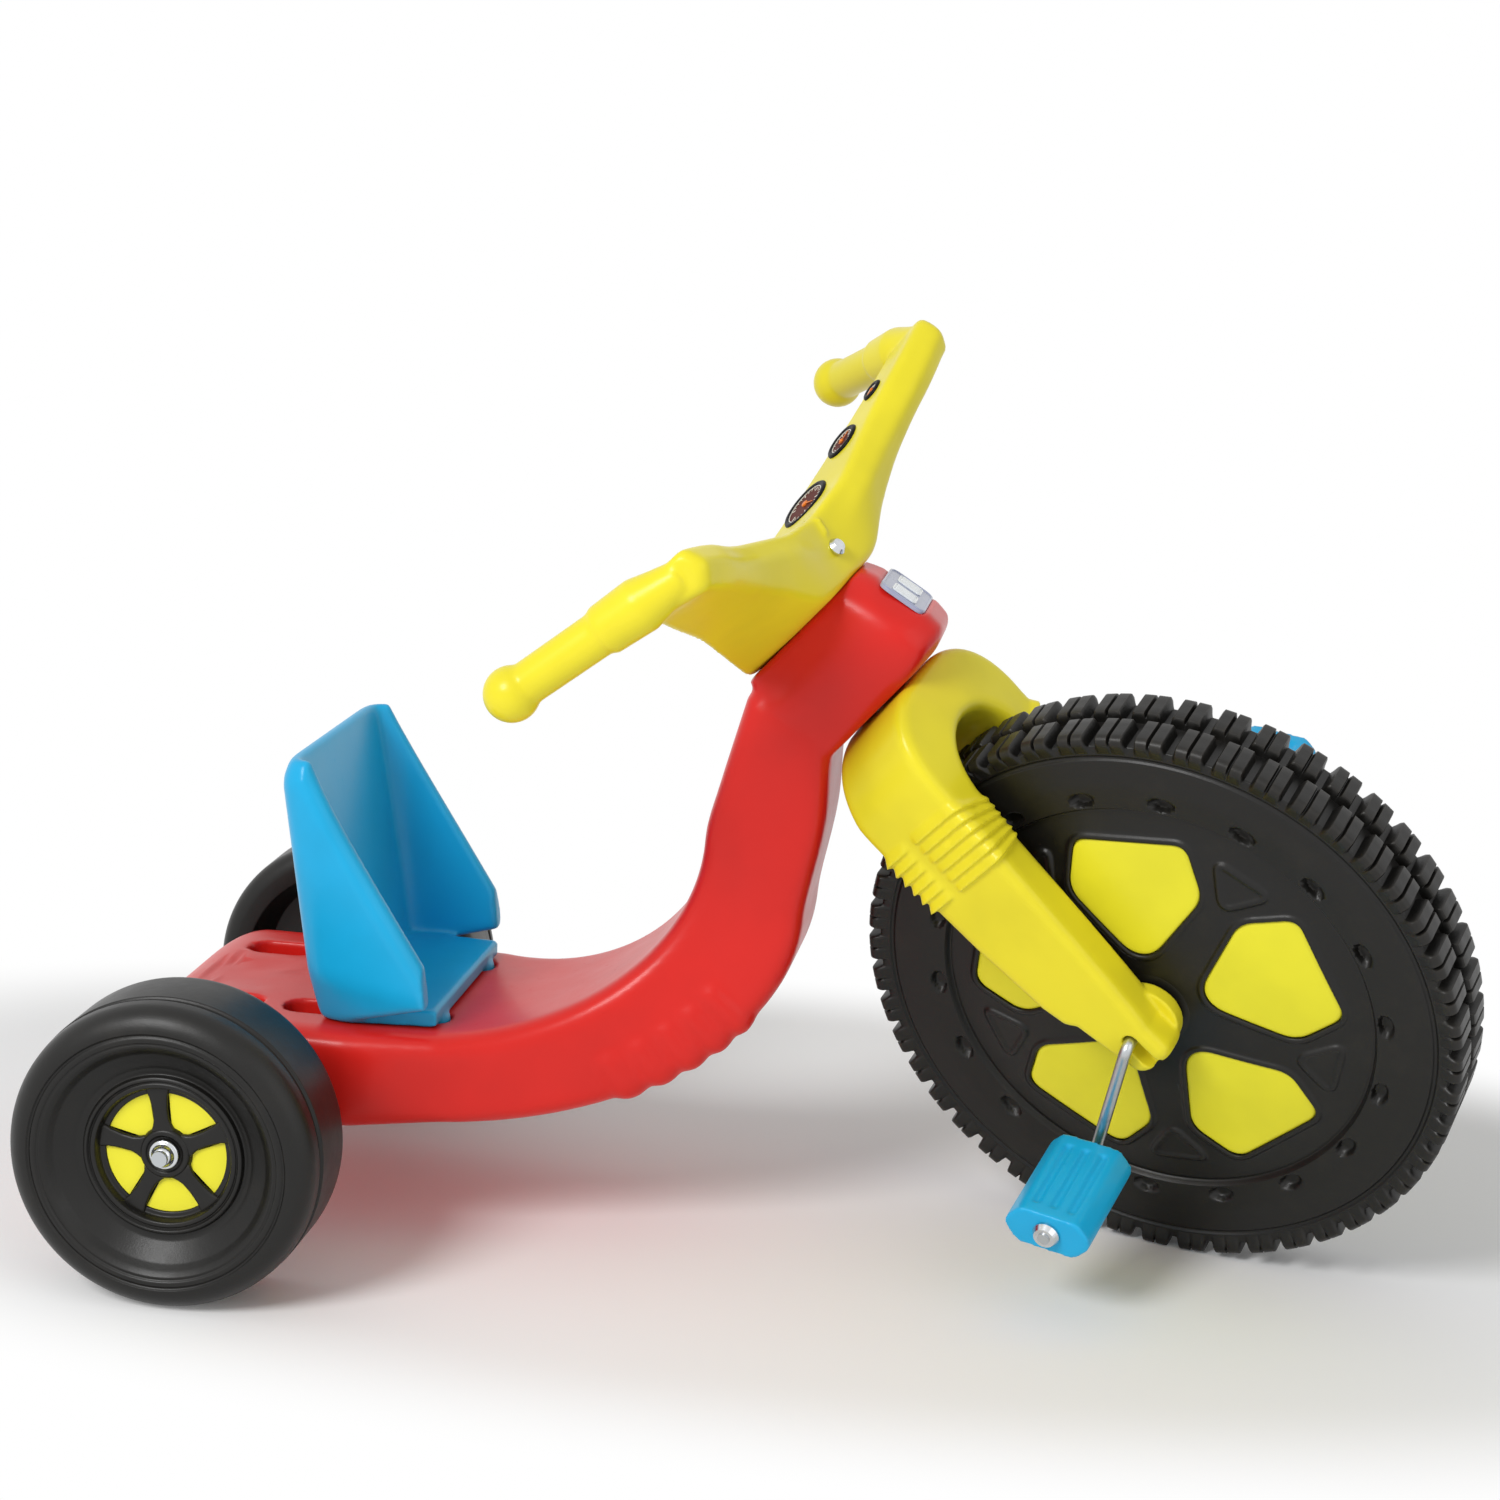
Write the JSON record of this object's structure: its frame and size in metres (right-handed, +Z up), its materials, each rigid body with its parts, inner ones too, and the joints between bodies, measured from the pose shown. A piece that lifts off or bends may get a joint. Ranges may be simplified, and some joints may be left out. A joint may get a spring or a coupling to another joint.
{
  "type": "low rider tricycle",
  "caption": "Child's low rider tricycle with a bucket seat, a big lugged front wheel driven by its own cranks, raked steering with swept handlebar, and wide rear wheels.",
  "frame": {"origin": "on the ground under the middle of the rear axle", "axes": "+X forward, +Y to the rider's left, +Z up; the front end is stored turned to the right, as pictured"},
  "size_m": [0.9111, 0.48, 0.6108],
  "materials": {
    "red_plastic": "blow moulded, satin gloss",
    "blue_plastic": "blow moulded, satin gloss",
    "yellow_plastic": "blow moulded, satin gloss",
    "black_plastic": "blow moulded, semi matt",
    "yellow_panel": "smooth sheet",
    "dial": "printed face",
    "headlight": "printed face",
    "bush": "moulded nylon",
    "steel": "drawn rod, zinc plated",
    "bright_steel": "bright plated"
  },
  "bodies": {
    "frame": {"frame_body": "red_plastic", "headlight_panel": "headlight", "head_bush_upper": "bush", "head_bush_lower": "bush", "rear_axle": "steel", "axle_spacer_left": "steel", "axle_spacer_right": "steel", "axle_nut_left": "bright_steel", "axle_nut_right": "bright_steel"},
    "steering": {"fork": "yellow_plastic", "steering_stem": "steel", "handlebar": "yellow_plastic", "handlebar_bolt": "bright_steel", "handlebar_nut": "bright_steel", "gauge_dials_left": "dial", "gauge_dials_right": "dial", "axle_bush_left": "bush", "axle_bush_right": "bush"},
    "front_wheel": {"front_wheel": "black_plastic", "window_panels_left": "yellow_panel", "window_panels_right": "yellow_panel", "crank_rod": "steel", "pedal_nut_left": "bright_steel", "pedal_nut_right": "bright_steel"},
    "pedal_left": {"pedal_left": "blue_plastic"},
    "pedal_right": {"pedal_right": "blue_plastic"},
    "rear_wheel_left": {"rear_wheel_left": "black_plastic", "hub_panels_left": "yellow_panel"},
    "rear_wheel_right": {"rear_wheel_right": "black_plastic", "hub_panels_right": "yellow_panel"},
    "seat": {"seat": "blue_plastic"}
  },
  "joints": [
    {"name": "steering", "type": "hinge", "parent": "frame", "child": "steering", "pos_m": [0.609, 0, 0.20015], "axis": [-0.7536, 0, 0.6574], "range_deg": [-18.7, 71.3]},
    {"name": "front_wheel_spin", "type": "hinge", "parent": "steering", "child": "front_wheel", "pos_m": [0.609, 0, 0.20015], "axis": [0.2913, 0.8965, 0.3339], "continuous": true},
    {"name": "pedal_left_spin", "type": "hinge", "parent": "front_wheel", "child": "pedal_left", "pos_m": [0.66073, 0.07655, 0.32537], "axis": [0.2913, 0.8965, 0.3339], "continuous": true},
    {"name": "pedal_right_spin", "type": "hinge", "parent": "front_wheel", "child": "pedal_right", "pos_m": [0.55727, -0.07655, 0.07494], "axis": [0.2913, 0.8965, 0.3339], "continuous": true},
    {"name": "rear_wheel_left_spin", "type": "hinge", "parent": "frame", "child": "rear_wheel_left", "pos_m": [0, 0.2015, 0.1003], "axis": [0, 1, 0], "continuous": true},
    {"name": "rear_wheel_right_spin", "type": "hinge", "parent": "frame", "child": "rear_wheel_right", "pos_m": [0, -0.2015, 0.1003], "axis": [0, 1, 0], "continuous": true},
    {"name": "seat_lift", "type": "slide", "parent": "frame", "child": "seat", "axis": [0, 0, 1], "range_m": [0, 0.04]}
  ]
}
